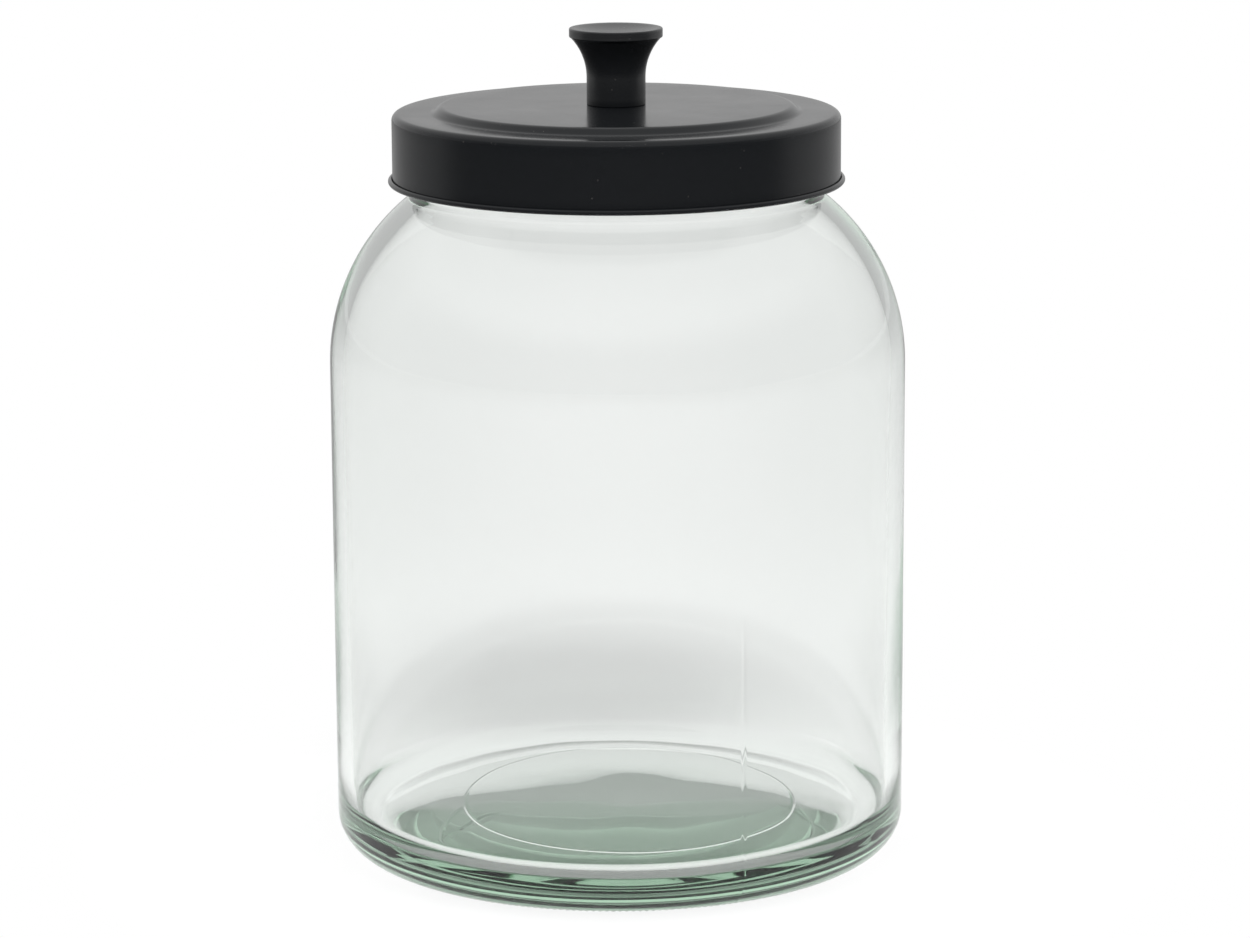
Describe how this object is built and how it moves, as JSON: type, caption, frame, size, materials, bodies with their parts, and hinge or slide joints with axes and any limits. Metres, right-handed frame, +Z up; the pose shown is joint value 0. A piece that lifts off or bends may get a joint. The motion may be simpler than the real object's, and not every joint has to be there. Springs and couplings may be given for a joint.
{
  "type": "glass storage jar with metal lid",
  "caption": "Tall round clear glass storage jar with curved shoulders, a wide mouth and a black pressed metal lid with a turned knob.",
  "frame": {"origin": "centre of the base, on the plane that the jar stands on", "axes": "+Z up along the jar's axis of revolution; X and Y are equal because the jar is round"},
  "size_m": [0.2, 0.2, 0.2885],
  "materials": {
    "clear_glass": "clear soda-lime glass with a faint green tint in thick places, smooth, slightly uneven inside",
    "black_lid_paint": "satin black paint on pressed sheet steel",
    "black_knob_paint": "satin black paint on a turned metal knob"
  },
  "bodies": {
    "root": {"glass_jar": "clear_glass", "lid": "black_lid_paint", "knob": "black_knob_paint"}
  },
  "joints": []
}
